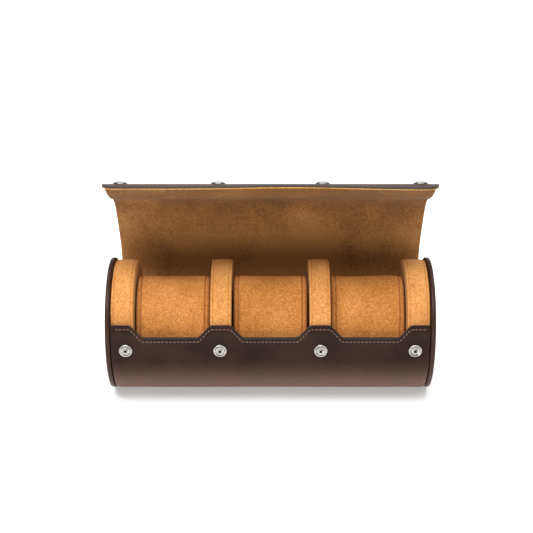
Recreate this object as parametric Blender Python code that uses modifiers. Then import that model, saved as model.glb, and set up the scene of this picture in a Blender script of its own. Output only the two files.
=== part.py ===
"""A three-slot watch roll: a leather shell with four round dividers, three loose pillows and a snap flap.

Dimensions are in millimetres and angles in degrees. An angle of 0 points to the front (-Y) from the
roll's axis, 90 points up and 180 points to the back, where the flap is hinged.
"""

import math

import bmesh
import bpy
from mathutils import Vector

MM = 0.001
ALONG_X = (math.radians(90.0), 0.0, math.radians(90.0))
ALONG_Y = (math.radians(90.0), 0.0, 0.0)

# Roll
RADIUS = 50.5
BASE_DROP = 48.2
SHELL_HALF = 118.6
LEATHER = 1.1
BOARD = 1.2
LINING = 0.6
PLY_GAP = 0.2
ARC_STEP = 6.0
BACK_ANGLE = -180.0
BUMP_ANGLE = 27.3
SCALLOP_ANGLE = 16.7

# Front edge: where the scallops run out into the raised bumps
MIDDLE_SCALLOP = (-20.7, 20.7)
SIDE_SCALLOP = (53.3, 95.6)
EDGE_SLOPE = 8.7
FILLET = 2.4

# End caps
CAP_INNER = 119.2
CAP_OUTER = 123.0
CAP_FACE = 1.2
CAP_LIP = 1.1
CAP_ROUND = 0.9

# Dividers
DIVIDER_RADIUS = 46.9
DIVIDER_BULGE = 48.9
DIVIDER_BASE = 44.7
DIVIDER_SPANS = ((-118.9, -102.0), (-45.0, -29.0), (29.0, 45.0), (102.0, 118.9))
SUEDE = 0.8
SUEDE_GAP = 0.2
DIVIDER_STEP = 8.0

# Snap fasteners
SNAP_ANGLE = 4.7
SNAP_X = (-107.8, -37.5, 37.5, 107.8)
SNAP_STEPS = 14

# Flap, drawn closed and then turned open at its three bending lines
FLAP_HALF = 120.0
FLAP_ROOT_HALF = 118.8
FLAP_INNER = 52.9
FLAP_SUEDE = 0.75
FLAP_LEATHER = 1.25
FLAP_GAP = 0.1
FLAP_ROOT_RISE = 4.3
FLAP_ROOT_END = 158.0
FLAP_BENDS = (179.4, 110.0, 38.0)
FLAP_END = -14.0
FLAP_CORNER = 10.0
BEND_GAP = 0.5
HINGE_RADIUS = 50.7
OPEN_ANGLES = (32.0, 27.5, 50.0)

# Pillows
PILLOW_X = (-73.5, 0.0, 73.5)
PILLOW_WIDTH = 55.6
PILLOW_HEIGHT = 73.0
PILLOW_DEPTH = 50.0
PILLOW_FORWARD = 12.0
PILLOW_TILT = 30.0
PILLOW_CLOTH = 1.0
PILLOW_POINTS = 36
PILLOW_POWER = 2.25

FINISHES = {
    "leather": ((0.045, 0.024, 0.018), 0.42, 0.0),
    "suede": ((0.50, 0.27, 0.10), 0.92, 0.0),
    "flap_suede": ((0.24, 0.13, 0.05), 0.92, 0.0),
    "board": ((0.42, 0.34, 0.24), 0.85, 0.0),
    "foam": ((0.78, 0.74, 0.62), 0.95, 0.0),
    "nickel": ((0.80, 0.80, 0.79), 0.18, 1.0),
    "spring": ((0.55, 0.55, 0.56), 0.30, 1.0),
}


def clear_scene():
    for obj in list(bpy.data.objects):
        bpy.data.objects.remove(obj)
    for name in ("watch_roll", "watch_roll_cutters"):
        bpy.context.scene.collection.children.link(bpy.data.collections.new(name))


def new_material(name, finish):
    colour, roughness, metallic = FINISHES[finish]
    made = bpy.data.materials.new(name)
    made.use_nodes = True
    surface = made.node_tree.nodes["Principled BSDF"]
    surface.inputs["Base Color"].default_value = (*colour, 1.0)
    surface.inputs["Roughness"].default_value = roughness
    surface.inputs["Metallic"].default_value = metallic
    return made


def add_object(name, mesh, finish):
    mesh.materials.append(new_material(name, finish))
    mesh.shade_smooth()
    mesh.set_sharp_from_angle(angle=math.radians(40.0))
    obj = bpy.data.objects.new(name, mesh)
    bpy.data.collections["watch_roll"].objects.link(obj)
    return obj


def add_cutter(name, mesh):
    obj = bpy.data.objects.new(name, mesh)
    bpy.data.collections["watch_roll_cutters"].objects.link(obj)
    obj.hide_render = True
    obj.display_type = "WIRE"
    return obj


def cut(obj, cutter):
    modifier = obj.modifiers.new(cutter.name, "BOOLEAN")
    modifier.operation = "DIFFERENCE"
    modifier.solver = "EXACT"
    modifier.object = cutter


def welded(mesh):
    """Joins the loose caps of a mesh made from a curve and turns its faces outward."""
    shape = bmesh.new()
    shape.from_mesh(mesh)
    bmesh.ops.remove_doubles(shape, verts=shape.verts, dist=0.000001)
    bmesh.ops.recalc_face_normals(shape, faces=shape.faces)
    shape.to_mesh(mesh)
    shape.free()
    return mesh


def extruded(name, outlines, low, high, rotation=ALONG_X):
    """A flat outline, with any holes as further outlines, extruded between two distances: (mesh, matrix)."""
    curve = bpy.data.curves.new(name, "CURVE")
    curve.dimensions = "2D"
    curve.fill_mode = "BOTH"
    curve.extrude = (high - low) / 2.0 * MM
    for outline in outlines:
        spline = curve.splines.new("POLY")
        spline.points.add(len(outline) - 1)
        spline.use_cyclic_u = True
        for point, (across, up) in zip(spline.points, outline):
            point.co = (across * MM, up * MM, 0.0, 1.0)
    guide = bpy.data.objects.new(name + "_outline", curve)
    bpy.context.scene.collection.objects.link(guide)
    guide.rotation_euler = rotation
    middle = Vector((0.0, 0.0, (low + high) / 2.0 * MM))
    guide.location = guide.rotation_euler.to_matrix() @ middle
    bpy.context.view_layer.update()
    evaluated = guide.evaluated_get(bpy.context.evaluated_depsgraph_get())
    mesh = welded(bpy.data.meshes.new_from_object(evaluated))
    mesh.name = name
    matrix = guide.matrix_world.copy()
    bpy.data.objects.remove(guide)
    return mesh, matrix


def add_extruded(name, outlines, low, high, finish):
    mesh, matrix = extruded(name, outlines, low, high)
    obj = add_object(name, mesh, finish)
    obj.matrix_world = matrix
    bpy.context.view_layer.update()
    return obj


def add_extruded_cutter(name, outlines, low, high, rotation=ALONG_X):
    mesh, matrix = extruded(name, outlines, low, high, rotation)
    obj = add_cutter(name, mesh)
    obj.matrix_world = matrix
    bpy.context.view_layer.update()
    return obj


def profile_mesh(name, profile, closed):
    """The (radius, height) points of a turned piece's profile, joined by edges."""
    points = [(radius * MM, 0.0, height * MM) for radius, height in profile]
    edges = [(index, index + 1) for index in range(len(points) - 1)]
    if closed:
        edges.append((len(points) - 1, 0))
    mesh = bpy.data.meshes.new(name)
    mesh.from_pydata(points, edges, [])
    return mesh


def turn(obj):
    """Turns a profile about its own Z. The profile runs down its outer side."""
    screw = obj.modifiers.new("turn", "SCREW")
    screw.steps = SNAP_STEPS
    screw.render_steps = SNAP_STEPS
    screw.use_merge_vertices = True
    screw.merge_threshold = 0.00001


def ease_edges(obj, width):
    bevel = obj.modifiers.new("ease", "BEVEL")
    bevel.width = width * MM
    bevel.segments = 2
    bevel.limit_method = "ANGLE"
    bevel.angle_limit = math.radians(60.0)


def polar(radius, angle, drop=None):
    """(y, z) from the roll's axis. A drop holds the point at or above a flat base."""
    turn = math.radians(angle)
    z = radius * math.sin(turn)
    if drop is not None:
        z = max(z, -drop)
    return (-radius * math.cos(turn), z)


def lift(points):
    """Moves (y, z) pairs from the roll's axis up to the standing height."""
    return [(y, z + BASE_DROP) for y, z in points]


def smooth(value, start, end):
    part = min(1.0, max(0.0, (value - start) / (end - start)))
    return part * part * (3.0 - 2.0 * part)


def arc_angles():
    flat_half = math.degrees(math.acos(BASE_DROP / RADIUS))
    angles = []
    angle = BACK_ANGLE
    while angle < BUMP_ANGLE - 2.0:
        if abs(angle + 90.0) > flat_half + 2.0:
            angles.append(angle)
        angle += ARC_STEP
    angles += [-90.0 - flat_half, -90.0 + flat_half, BUMP_ANGLE]
    return sorted(angles)


def shell_ply(name, outside, thickness, finish):
    """One ply of the shell, its outer face the given depth below the roll's surface."""
    angles = arc_angles()
    outer = [polar(RADIUS - outside, angle, BASE_DROP - outside) for angle in angles]
    depth = outside + thickness
    inner = [polar(RADIUS - depth, angle, BASE_DROP - depth) for angle in reversed(angles)]
    return add_extruded(name, [lift(outer + inner)], -SHELL_HALF, SHELL_HALF, finish)


def filleted(corner, before, after):
    """Points of a rounded corner between two neighbouring corners of an outline."""
    corner = Vector(corner)
    into = (Vector(before) - corner).normalized()
    out = (Vector(after) - corner).normalized()
    half = into.angle(out) / 2.0
    reach = FILLET / math.tan(half)
    centre = corner + (into + out).normalized() * (FILLET / math.sin(half))
    start = corner + into * reach - centre
    end = corner + out * reach - centre
    return [tuple(centre + start.slerp(end, step / 3.0)) for step in range(4)]


def scallop_cutter(name, left, right):
    low = BASE_DROP + RADIUS * math.sin(math.radians(SCALLOP_ANGLE))
    rise = RADIUS * (math.sin(math.radians(BUMP_ANGLE)) - math.sin(math.radians(SCALLOP_ANGLE)))
    top = low + rise + 6.0
    run = EDGE_SLOPE * (rise + 0.4) / rise
    shoulder = low + rise + 0.4
    corners = [(left, low), (right, low), (right + run, shoulder), (right + run, top)]
    corners += [(left - run, top), (left - run, shoulder)]
    outline = filleted(corners[0], corners[5], corners[1])
    outline += filleted(corners[1], corners[0], corners[2])
    outline += corners[2:]
    return add_extruded_cutter(name, [outline], RADIUS - 20.0, RADIUS + 8.0, ALONG_Y)


def place_on_roll(obj, x, angle):
    """Stands an object's +Z straight out from the roll at its own radius of zero."""
    obj.location = Vector((x, 0.0, BASE_DROP)) * MM
    obj.rotation_euler = (math.radians(90.0 - angle), 0.0, 0.0)


def snap_hole_cutter(name, x):
    """Post hole through the shell's leather and board, with a counterbore behind for the eyelet's flange."""
    board_inside = RADIUS - LEATHER - PLY_GAP - BOARD
    shoulder = board_inside + 0.6
    profile = [(0.0, RADIUS + 1.0), (1.75, RADIUS + 1.0), (1.75, shoulder), (4.4, shoulder)]
    profile += [(4.4, board_inside - 0.1), (0.0, board_inside - 0.1)]
    obj = add_cutter(name, profile_mesh(name, profile, False))
    turn(obj)
    place_on_roll(obj, x, SNAP_ANGLE)
    return obj


def make_shell():
    leather = shell_ply("body_leather", 0.0, LEATHER, "leather")
    board = shell_ply("shell_board", LEATHER + PLY_GAP, BOARD, "board")
    depth = LEATHER + BOARD + 2.0 * PLY_GAP
    lining = shell_ply("body_lining", depth, LINING, "suede")
    scallops = [
        scallop_cutter("cut_scallop_left", -SIDE_SCALLOP[1], -SIDE_SCALLOP[0]),
        scallop_cutter("cut_scallop_middle", *MIDDLE_SCALLOP),
        scallop_cutter("cut_scallop_right", *SIDE_SCALLOP),
    ]
    for obj in (leather, board, lining):
        for cutter in scallops:
            cut(obj, cutter)
    for number, x in enumerate(SNAP_X, 1):
        hole = snap_hole_cutter(f"cut_snap_hole_{number}", x)
        cut(leather, hole)
        cut(board, hole)


def standing_outline(radius_at, step, drop):
    """A round outline with one flat at the base. The radius may vary with the angle."""
    flat_half = math.degrees(math.acos(drop / radius_at(-90.0)))
    angles = [-90.0 - flat_half, -90.0 + flat_half]
    for index in range(round(360.0 / step)):
        angle = index * step - 90.0
        if abs(angle + 90.0) > flat_half + 2.0 and angle < 270.0 - flat_half - 2.0:
            angles.append(angle)
    return lift([polar(radius_at(angle), angle, drop) for angle in sorted(angles)])


def round_outline(radius, drop):
    return standing_outline(lambda angle: radius, ARC_STEP, drop)


def make_end_caps():
    """Each cap is a board disc in a leather cup."""
    rim = round_outline(RADIUS, BASE_DROP)
    pocket = round_outline(RADIUS - CAP_LIP, BASE_DROP - CAP_LIP)
    disc = round_outline(RADIUS - CAP_LIP - 0.2, BASE_DROP - CAP_LIP - 0.2)
    floor = CAP_OUTER - CAP_FACE
    for side, sign in (("left", -1.0), ("right", 1.0)):
        span = sorted((sign * CAP_INNER, sign * CAP_OUTER))
        cup = add_extruded(f"end_cap_{side}_leather", [rim], *span, "leather")
        ease_edges(cup, CAP_ROUND)
        span = sorted((sign * (CAP_INNER - 2.0), sign * floor))
        cut(cup, add_extruded_cutter(f"cut_cap_pocket_{side}", [pocket], *span))
        span = sorted((sign * CAP_INNER, sign * (floor - 0.2)))
        add_extruded(f"end_cap_{side}_board", [disc], *span, "board")


def divider_radius(angle):
    """The part of a divider inside the shell is slimmer than the part that stands out of it."""
    front = smooth(angle, 28.5, 42.0)
    back = 1.0 - smooth(angle, 160.0, 179.0)
    if not 0.0 < angle < 180.0:
        return DIVIDER_RADIUS
    return DIVIDER_RADIUS + (DIVIDER_BULGE - DIVIDER_RADIUS) * min(front, back)


def divider_outline(inset):
    return standing_outline(lambda a: divider_radius(a) - inset, DIVIDER_STEP, DIVIDER_BASE - inset)


def make_dividers():
    """A foam core with a suede strip round its rim and a suede panel on each open side."""
    skin = SUEDE + SUEDE_GAP
    rim = [divider_outline(0.0), divider_outline(SUEDE)]
    panel = [divider_outline(skin)]
    for number, (left, right) in enumerate(DIVIDER_SPANS, 1):
        name = f"divider_{number}"
        core_left = left + 0.3
        core_right = right - 0.3
        if number > 1:
            add_extruded(f"{name}_face_left", panel, left + 0.1, left + SUEDE, "suede")
            core_left = left + skin
        if number < len(DIVIDER_SPANS):
            add_extruded(f"{name}_face_right", panel, right - SUEDE, right - 0.1, "suede")
            core_right = right - skin
        add_extruded(f"{name}_core", panel, core_left, core_right, "foam")
        add_extruded(f"{name}_rim", rim, left, right, "suede")


def flap_inner_radius(angle):
    """The flap leaves the shell's back edge and then stands clear of the roll."""
    return FLAP_INNER - FLAP_ROOT_RISE * smooth(angle, FLAP_ROOT_END, FLAP_BENDS[0])


def flap_ply(name, start, end, half, offset, thickness, finish, parent):
    """One ply of one length of the flap, as a bent plate."""
    rows = max(4, round((start - end) / ARC_STEP))
    angles = [start + (end - start) * row / rows for row in range(rows + 1)]
    outer = [polar(flap_inner_radius(a) + offset + thickness, a) for a in angles]
    inner = [polar(flap_inner_radius(a) + offset, a) for a in reversed(angles)]
    obj = add_extruded(name, [lift(outer + inner)], -half, half, finish)
    hang(obj, parent)
    return obj


def flap_corner_cutter(name, sign, parent):
    """Everything outside the rounded corner of the flap's free edge."""
    low = BASE_DROP + FLAP_INNER * math.sin(math.radians(FLAP_END))
    centre_x = FLAP_HALF - FLAP_CORNER
    outline = []
    for step in range(7):
        turned_by = math.radians(-90.0 + 15.0 * step)
        across = centre_x + FLAP_CORNER * math.cos(turned_by)
        outline.append((sign * across, low + FLAP_CORNER + FLAP_CORNER * math.sin(turned_by)))
    outline += [(sign * (FLAP_HALF + 5.0), low + FLAP_CORNER), (sign * (FLAP_HALF + 5.0), low - 5.0)]
    outline.append((sign * centre_x, low - 5.0))
    obj = add_extruded_cutter(name, [outline], FLAP_INNER - 12.0, FLAP_INNER + 10.0, ALONG_Y)
    hang(obj, parent)
    return obj


def hang(obj, parent):
    """Parents an object drawn in the closed position to a bending line, before the flap is turned open."""
    bpy.context.view_layer.update()
    obj.parent = parent
    obj.matrix_parent_inverse = parent.matrix_world.inverted()


def bending_line(name, radius, angle, parent):
    line = bpy.data.objects.new(name, None)
    bpy.data.collections["watch_roll"].objects.link(line)
    y, z = lift([polar(radius, angle)])[0]
    line.location = Vector((0.0, y, z)) * MM
    if parent is not None:
        hang(line, parent)
    bpy.context.view_layer.update()
    return line


def flap_hole_cutter(name, x, parent):
    profile = [(0.0, FLAP_INNER + 4.0), (1.6, FLAP_INNER + 4.0), (1.6, FLAP_INNER - 1.0)]
    profile.append((0.0, FLAP_INNER - 1.0))
    obj = add_cutter(name, profile_mesh(name, profile, False))
    turn(obj)
    place_on_roll(obj, x, SNAP_ANGLE)
    hang(obj, parent)
    return obj


def make_flap():
    outer = FLAP_INNER + FLAP_SUEDE + FLAP_GAP + FLAP_LEATHER
    lines = [bending_line("flap_hinge_line", HINGE_RADIUS, 180.0, None)]
    lines.append(bending_line("flap_bend_line_1", outer, FLAP_BENDS[1], lines[0]))
    lines.append(bending_line("flap_bend_line_2", outer, FLAP_BENDS[2], lines[1]))
    half_gap = math.degrees(BEND_GAP / 2.0 / outer)
    spans = (
        ("lid_rear", FLAP_BENDS[0], FLAP_BENDS[1] + half_gap, FLAP_ROOT_HALF),
        ("lid_mid", FLAP_BENDS[1] - half_gap, FLAP_BENDS[2] + half_gap, FLAP_HALF),
        ("lid_front", FLAP_BENDS[2] - half_gap, FLAP_END, FLAP_HALF),
    )
    over_suede = FLAP_SUEDE + FLAP_GAP
    for line, (name, start, end, half) in zip(lines, spans):
        lining = flap_ply(f"{name}_lining", start, end, half, 0.0, FLAP_SUEDE, "flap_suede", line)
        leather = flap_ply(
            f"{name}_leather", start, end, half, over_suede, FLAP_LEATHER, "leather", line
        )
    cutters = [
        flap_corner_cutter("cut_flap_corner_left", -1.0, lines[2]),
        flap_corner_cutter("cut_flap_corner_right", 1.0, lines[2]),
    ]
    for number, x in enumerate(SNAP_X, 1):
        cutters.append(flap_hole_cutter(f"cut_flap_hole_{number}", x, lines[2]))
    for cutter in cutters:
        cut(lining, cutter)
        cut(leather, cutter)
    make_flap_snaps(lines[2], outer)
    for line, angle in zip(lines, OPEN_ANGLES):
        line.rotation_euler.x = -math.radians(angle)


def make_flap_snaps(parent, outer):
    """Cap, socket and ring spring, drawn on a snap's own axis with the roll's axis at height zero."""
    top = outer + 0.1
    cap = [(0.0, top + 1.65), (2.8, top + 1.45), (4.6, top + 0.95), (5.25, top + 0.35)]
    cap += [(5.0, top), (1.3, top), (1.3, 52.45), (0.75, 52.45), (0.75, top + 0.9)]
    cap.append((0.0, top + 0.9))
    socket = [(1.55, 52.62), (4.7, 52.62), (4.95, 52.3), (4.95, 51.6), (4.5, 51.25), (2.3, 51.25)]
    socket += [(2.3, 51.5), (2.75, 51.55), (2.75, 52.0), (2.3, 52.05), (2.3, 52.35), (1.55, 52.35)]
    spring = [(2.42, 51.94), (2.64, 51.78), (2.42, 51.62), (2.2, 51.78)]
    pieces = (("cap", cap, "nickel"), ("socket", socket, "nickel"), ("spring", spring, "spring"))
    for kind, profile, finish in pieces:
        for number, x in enumerate(SNAP_X, 1):
            name = f"snap_{kind}_{number}"
            obj = add_object(name, profile_mesh(name, profile, kind != "cap"), finish)
            turn(obj)
            place_on_roll(obj, x, SNAP_ANGLE)
            hang(obj, parent)


def make_body_snaps():
    """Stud with a hollow post, and the eyelet whose tube holds it from behind the board."""
    face = RADIUS + 0.1
    stud = [(0.95, face + 1.6), (1.7, face + 1.6), (1.95, face + 1.25), (1.75, face + 1.0)]
    stud += [(1.75, face + 0.6), (2.1, face + 0.35), (3.9, face + 0.35), (4.6, face + 0.6)]
    stud += [(5.0, face + 0.25), (4.6, face), (0.95, face)]
    inside = RADIUS - LEATHER - PLY_GAP - BOARD
    eyelet = [(0.4, face + 1.3), (0.8, face + 1.3), (0.8, inside + 0.45), (4.1, inside + 0.45)]
    eyelet += [(4.1, inside + 0.05), (0.4, inside + 0.05)]
    for kind, profile in (("stud", stud), ("eyelet", eyelet)):
        for number, x in enumerate(SNAP_X, 1):
            name = f"snap_{kind}_{number}"
            obj = add_object(name, profile_mesh(name, profile, True), "nickel")
            turn(obj)
            place_on_roll(obj, x, SNAP_ANGLE)


def oval(inset):
    """A rounded upright oval: across its depth and up its height."""
    outline = []
    for index in range(PILLOW_POINTS):
        turned_by = 2.0 * math.pi * index / PILLOW_POINTS
        c = math.cos(turned_by)
        s = math.sin(turned_by)
        across = math.copysign(abs(c) ** (2.0 / PILLOW_POWER), c) * (PILLOW_DEPTH / 2.0 - inset)
        up = math.copysign(abs(s) ** (2.0 / PILLOW_POWER), s) * (PILLOW_HEIGHT / 2.0 - inset)
        outline.append((across, up))
    return outline


def make_pillows():
    """A foam block in a suede sleeve, closed by a suede panel at each end, on a slanted origin of its own."""
    half = PILLOW_WIDTH / 2.0
    inside = PILLOW_CLOTH + 0.2
    y, z = lift([polar(PILLOW_FORWARD, PILLOW_TILT)])[0]
    pieces = (
        ("foam", [oval(inside)], -half + inside + 0.5, half - inside - 0.5, "foam"),
        ("sleeve", [oval(0.0), oval(PILLOW_CLOTH)], -half, half, "suede"),
        ("end_left", [oval(inside)], -half + 0.3, -half + 0.3 + PILLOW_CLOTH, "suede"),
        ("end_right", [oval(inside)], half - 0.3 - PILLOW_CLOTH, half - 0.3, "suede"),
    )
    for number, x in enumerate(PILLOW_X, 1):
        seat = bpy.data.objects.new(f"pillow_{number}_seat", None)
        bpy.data.collections["watch_roll"].objects.link(seat)
        for kind, outlines, low, high, finish in pieces:
            obj = add_extruded(f"pillow_{number}_{kind}", outlines, low, high, finish)
            obj.parent = seat
        seat.location = Vector((x, y, z)) * MM
        seat.rotation_euler.x = -math.radians(PILLOW_TILT)


def main():
    clear_scene()
    make_shell()
    make_end_caps()
    make_dividers()
    make_body_snaps()
    make_flap()
    make_pillows()


main()
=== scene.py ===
"""Looks for the three-slot watch roll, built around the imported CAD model. Lengths here are in millimetres."""

import math

import bmesh
import bpy
import numpy as np
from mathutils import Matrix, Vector


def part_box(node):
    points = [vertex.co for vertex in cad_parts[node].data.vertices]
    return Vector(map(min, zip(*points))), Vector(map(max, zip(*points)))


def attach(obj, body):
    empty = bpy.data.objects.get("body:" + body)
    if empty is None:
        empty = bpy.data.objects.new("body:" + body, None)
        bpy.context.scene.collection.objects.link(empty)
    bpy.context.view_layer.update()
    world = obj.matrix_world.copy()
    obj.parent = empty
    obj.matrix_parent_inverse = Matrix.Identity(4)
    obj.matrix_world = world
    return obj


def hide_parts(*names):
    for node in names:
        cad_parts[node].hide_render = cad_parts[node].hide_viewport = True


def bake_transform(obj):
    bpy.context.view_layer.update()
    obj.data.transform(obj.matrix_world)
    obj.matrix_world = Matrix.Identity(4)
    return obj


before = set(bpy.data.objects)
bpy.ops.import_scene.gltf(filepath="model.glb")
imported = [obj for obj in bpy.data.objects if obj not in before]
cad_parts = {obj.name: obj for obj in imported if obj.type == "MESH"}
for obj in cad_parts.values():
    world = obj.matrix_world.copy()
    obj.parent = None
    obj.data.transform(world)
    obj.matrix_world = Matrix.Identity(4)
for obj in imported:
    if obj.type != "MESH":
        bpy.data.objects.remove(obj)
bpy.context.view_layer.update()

MM = 0.001

# Sizes read from the CAD model
SHELL_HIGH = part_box("body_leather")[1]
RADIUS = SHELL_HIGH.y / MM
SHELL_HALF = SHELL_HIGH.x / MM
BASE_DROP = 48.2  # height of the roll's axis above the flat it stands on
CAP_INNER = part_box("end_cap_right_board")[0].x / MM
CAP_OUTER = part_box("end_cap_right_leather")[1].x / MM
DIVIDERS = [
    (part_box(f"divider_{number}_rim")[0].x / MM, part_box(f"divider_{number}_rim")[1].x / MM)
    for number in (1, 2, 3, 4)
]
SNAP_X = [
    (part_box(f"snap_stud_{number}")[0].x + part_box(f"snap_stud_{number}")[1].x) / 2 / MM
    for number in (1, 2, 3, 4)
]
PILLOWS = []
for number in (1, 2, 3):
    low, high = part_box(f"pillow_{number}_sleeve")
    PILLOWS.append(((low + high) / 2 / MM, (high.x - low.x) / MM))

# Shell. Angles are in degrees from the front horizontal, seen from the roll's axis
LEATHER = 2.35
LINING = 0.75
LINING_GAP = 0.15
BUMP_ANGLE = 27.3
SCALLOP_ANGLE = 16.7
MIDDLE_SCALLOP = (-20.7, 20.7)
SIDE_SCALLOP = (53.3, 95.6)
EDGE_SLOPE = 8.7
SNAP_ANGLE = 4.7
STITCH_INSET = 3.5
STITCH_PITCH = 2.9
STITCH_DEPTH = 0.10
BODY_BACK = -174.0
LINING_BACK = -179.0

# Flap: its closed shape, and the lines it bends at in degrees round the roll from the hinge
FLAP_OUTER = 55.0
FLAP_LEATHER = 1.3
FLAP_SUEDE = 0.75
FLAP_HALF = 120.0
FLAP_ROOT_HALF = 118.7
FLAP_SPAN = 194.0
FLAP_CORNER = 10.0
ARC_MM = 53.9 * math.pi / 180.0
HINGE_RADIUS = 50.7
BENDS = (0.0, 70.0, 142.0)
OPENED = (32.0, 27.5, 50.0)
FLAP_CUTS = (-6.0, 35.0, 106.0, FLAP_SPAN)
EASING = 0.8
EASING_PASSES = 3000
BLEND_REACH = ((4.0, 17.0), (26.5, 28.0), (28.0, 24.0))

# Snaps
SOCKET_TOP = 52.85

# Dividers
DIVIDER_RADIUS = 46.9
DIVIDER_BULGE = 48.9
DIVIDER_BASE = 44.7

# Pillows
PILLOW_HEIGHT = 73.0
PILLOW_DEPTH = 50.0
PILLOW_TILT = 30.0
PILLOW_POWER = 2.25
PILLOW_SWELL = 1.6
PILLOW_LEANS = (0.15, -0.12, 0.09)
HEM_INSET = 3.6
HEM_DEPTH = 1.7


def smooth(value, start, end):
    """A soft step from 0 at the start to 1 at the end."""
    part = np.clip((np.asarray(value, float) - start) / (end - start), 0.0, 1.0)
    return part * part * (3.0 - 2.0 * part)


def soft_max(value, floor, blend):
    """The larger of the two, with the corner between them rounded over the blend."""
    gap = np.clip(0.5 + 0.5 * (value - floor) / blend, 0.0, 1.0)
    return floor * (1.0 - gap) + value * gap + blend * gap * (1.0 - gap)


def roll_points(x, radius, angle, drop=None):
    """World points in millimetres. An angle of 0 is to the front, 90 up and 180 to the back."""
    turn = np.radians(angle)
    z = radius * np.sin(turn)
    if drop is not None:
        z = soft_max(z, -np.asarray(drop, float), 0.8)
    return np.stack([x, -radius * np.cos(turn), z + BASE_DROP], axis=-1)


# ---------------------------------------------------------------- materials


def new_material(name):
    made = bpy.data.materials.new(name)
    made.use_nodes = True
    nodes = made.node_tree.nodes
    return made, nodes, made.node_tree.links, nodes["Principled BSDF"]


def object_coordinates(nodes, links, scale):
    where = nodes.new("ShaderNodeTexCoord")
    mapping = nodes.new("ShaderNodeMapping")
    mapping.inputs["Scale"].default_value = scale
    links.new(where.outputs["Object"], mapping.inputs["Vector"])
    return mapping.outputs["Vector"]


def noise(nodes, links, vector, scale, detail=4.0, roughness=0.55, distortion=0.0):
    made = nodes.new("ShaderNodeTexNoise")
    made.inputs["Scale"].default_value = scale
    made.inputs["Detail"].default_value = detail
    made.inputs["Roughness"].default_value = roughness
    made.inputs["Distortion"].default_value = distortion
    links.new(vector, made.inputs["Vector"])
    return made.outputs["Fac"]


def cells(nodes, links, vector, scale, feature="F1"):
    made = nodes.new("ShaderNodeTexVoronoi")
    made.feature = feature
    made.inputs["Scale"].default_value = scale
    links.new(vector, made.inputs["Vector"])
    return made.outputs["Distance"]


def ramp(nodes, links, value, stops):
    made = nodes.new("ShaderNodeValToRGB")
    ends = made.color_ramp.elements
    while len(ends) < len(stops):
        ends.new(0.5)
    for end, (place, colour) in zip(ends, stops):
        end.position = place
        end.color = (*colour, 1.0) if len(colour) == 3 else colour
    links.new(value, made.inputs["Fac"])
    return made.outputs["Color"]


def math_node(nodes, links, operation, left, right):
    made = nodes.new("ShaderNodeMath")
    made.operation = operation
    for socket, value in zip(made.inputs, (left, right)):
        if isinstance(value, float):
            socket.default_value = value
        else:
            links.new(value, socket)
    return made.outputs["Value"]


def remap(nodes, links, value, low, high):
    made = nodes.new("ShaderNodeMapRange")
    made.inputs["To Min"].default_value = low
    made.inputs["To Max"].default_value = high
    links.new(value, made.inputs["Value"])
    return made.outputs["Result"]


def bump(nodes, links, surface, height, strength, distance, under=None):
    made = nodes.new("ShaderNodeBump")
    made.inputs["Strength"].default_value = strength
    made.inputs["Distance"].default_value = distance
    links.new(height, made.inputs["Height"])
    if under is not None:
        links.new(under, made.inputs["Normal"])
    links.new(made.outputs["Normal"], surface.inputs["Normal"])
    return made.outputs["Normal"]


def upwards(nodes, links, vector, heights, low, high):
    """A value that changes from low to high between two heights."""
    height = nodes.new("ShaderNodeSeparateXYZ")
    links.new(vector, height.inputs["Vector"])
    change = nodes.new("ShaderNodeMapRange")
    change.interpolation_type = "SMOOTHSTEP"
    change.inputs["From Min"].default_value, change.inputs["From Max"].default_value = heights
    change.inputs["To Min"].default_value = low
    change.inputs["To Max"].default_value = high
    links.new(height.outputs["Z"], change.inputs["Value"])
    return change.outputs["Result"]


def make_leather(name, dark, light, roughness=(0.30, 0.44), painted_reflection_heights=None, gloss=0.22):
    """Smooth, fine-grained leather: pebbled pores, a soft cloudy colour and a satin top coat.

    The two heights, in metres, of the painted reflection and shade: the colour is painted lighter towards the
    lower one, standing in for the floor's reflected light, and darker towards the upper one as painted shade.
    """
    made, nodes, links, surface = new_material(name)
    vector = object_coordinates(nodes, links, (1.0, 1.0, 1.0))
    cloud = noise(nodes, links, vector, 22.0, 5.0, 0.6)
    fleck = noise(nodes, links, vector, 900.0, 3.0, 0.6)
    shade = math_node(nodes, links, "ADD", math_node(nodes, links, "MULTIPLY", cloud, 0.72),
                      math_node(nodes, links, "MULTIPLY", fleck, 0.28))
    # Painted light: a lighter colour low down stands in for the floor's reflection, and a darker one up high is
    # painted shade.
    if painted_reflection_heights:
        shade = math_node(nodes, links, "MULTIPLY", shade, 0.4)
        shade = math_node(nodes, links, "ADD", shade, upwards(nodes, links, vector, painted_reflection_heights, 0.58, 0.03))
    links.new(ramp(nodes, links, shade, [(0.2, dark), (0.8, light)]), surface.inputs["Base Color"])
    grain = cells(nodes, links, vector, 1150.0, "SMOOTH_F1")
    pores = noise(nodes, links, vector, 2400.0, 2.0, 0.5)
    height = math_node(nodes, links, "ADD", grain, math_node(nodes, links, "MULTIPLY", pores, 0.45))
    rough = math_node(nodes, links, "ADD", math_node(nodes, links, "MULTIPLY", cloud, 0.6),
                      math_node(nodes, links, "MULTIPLY", grain, 0.4))
    links.new(remap(nodes, links, rough, *roughness), surface.inputs["Roughness"])
    broad = noise(nodes, links, vector, 45.0, 3.0, 0.5)
    first = bump(nodes, links, surface, broad, 0.10, 0.0012)
    bump(nodes, links, surface, height, 0.32, 0.00022, first)
    surface.inputs["Specular IOR Level"].default_value = gloss
    return made


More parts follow.
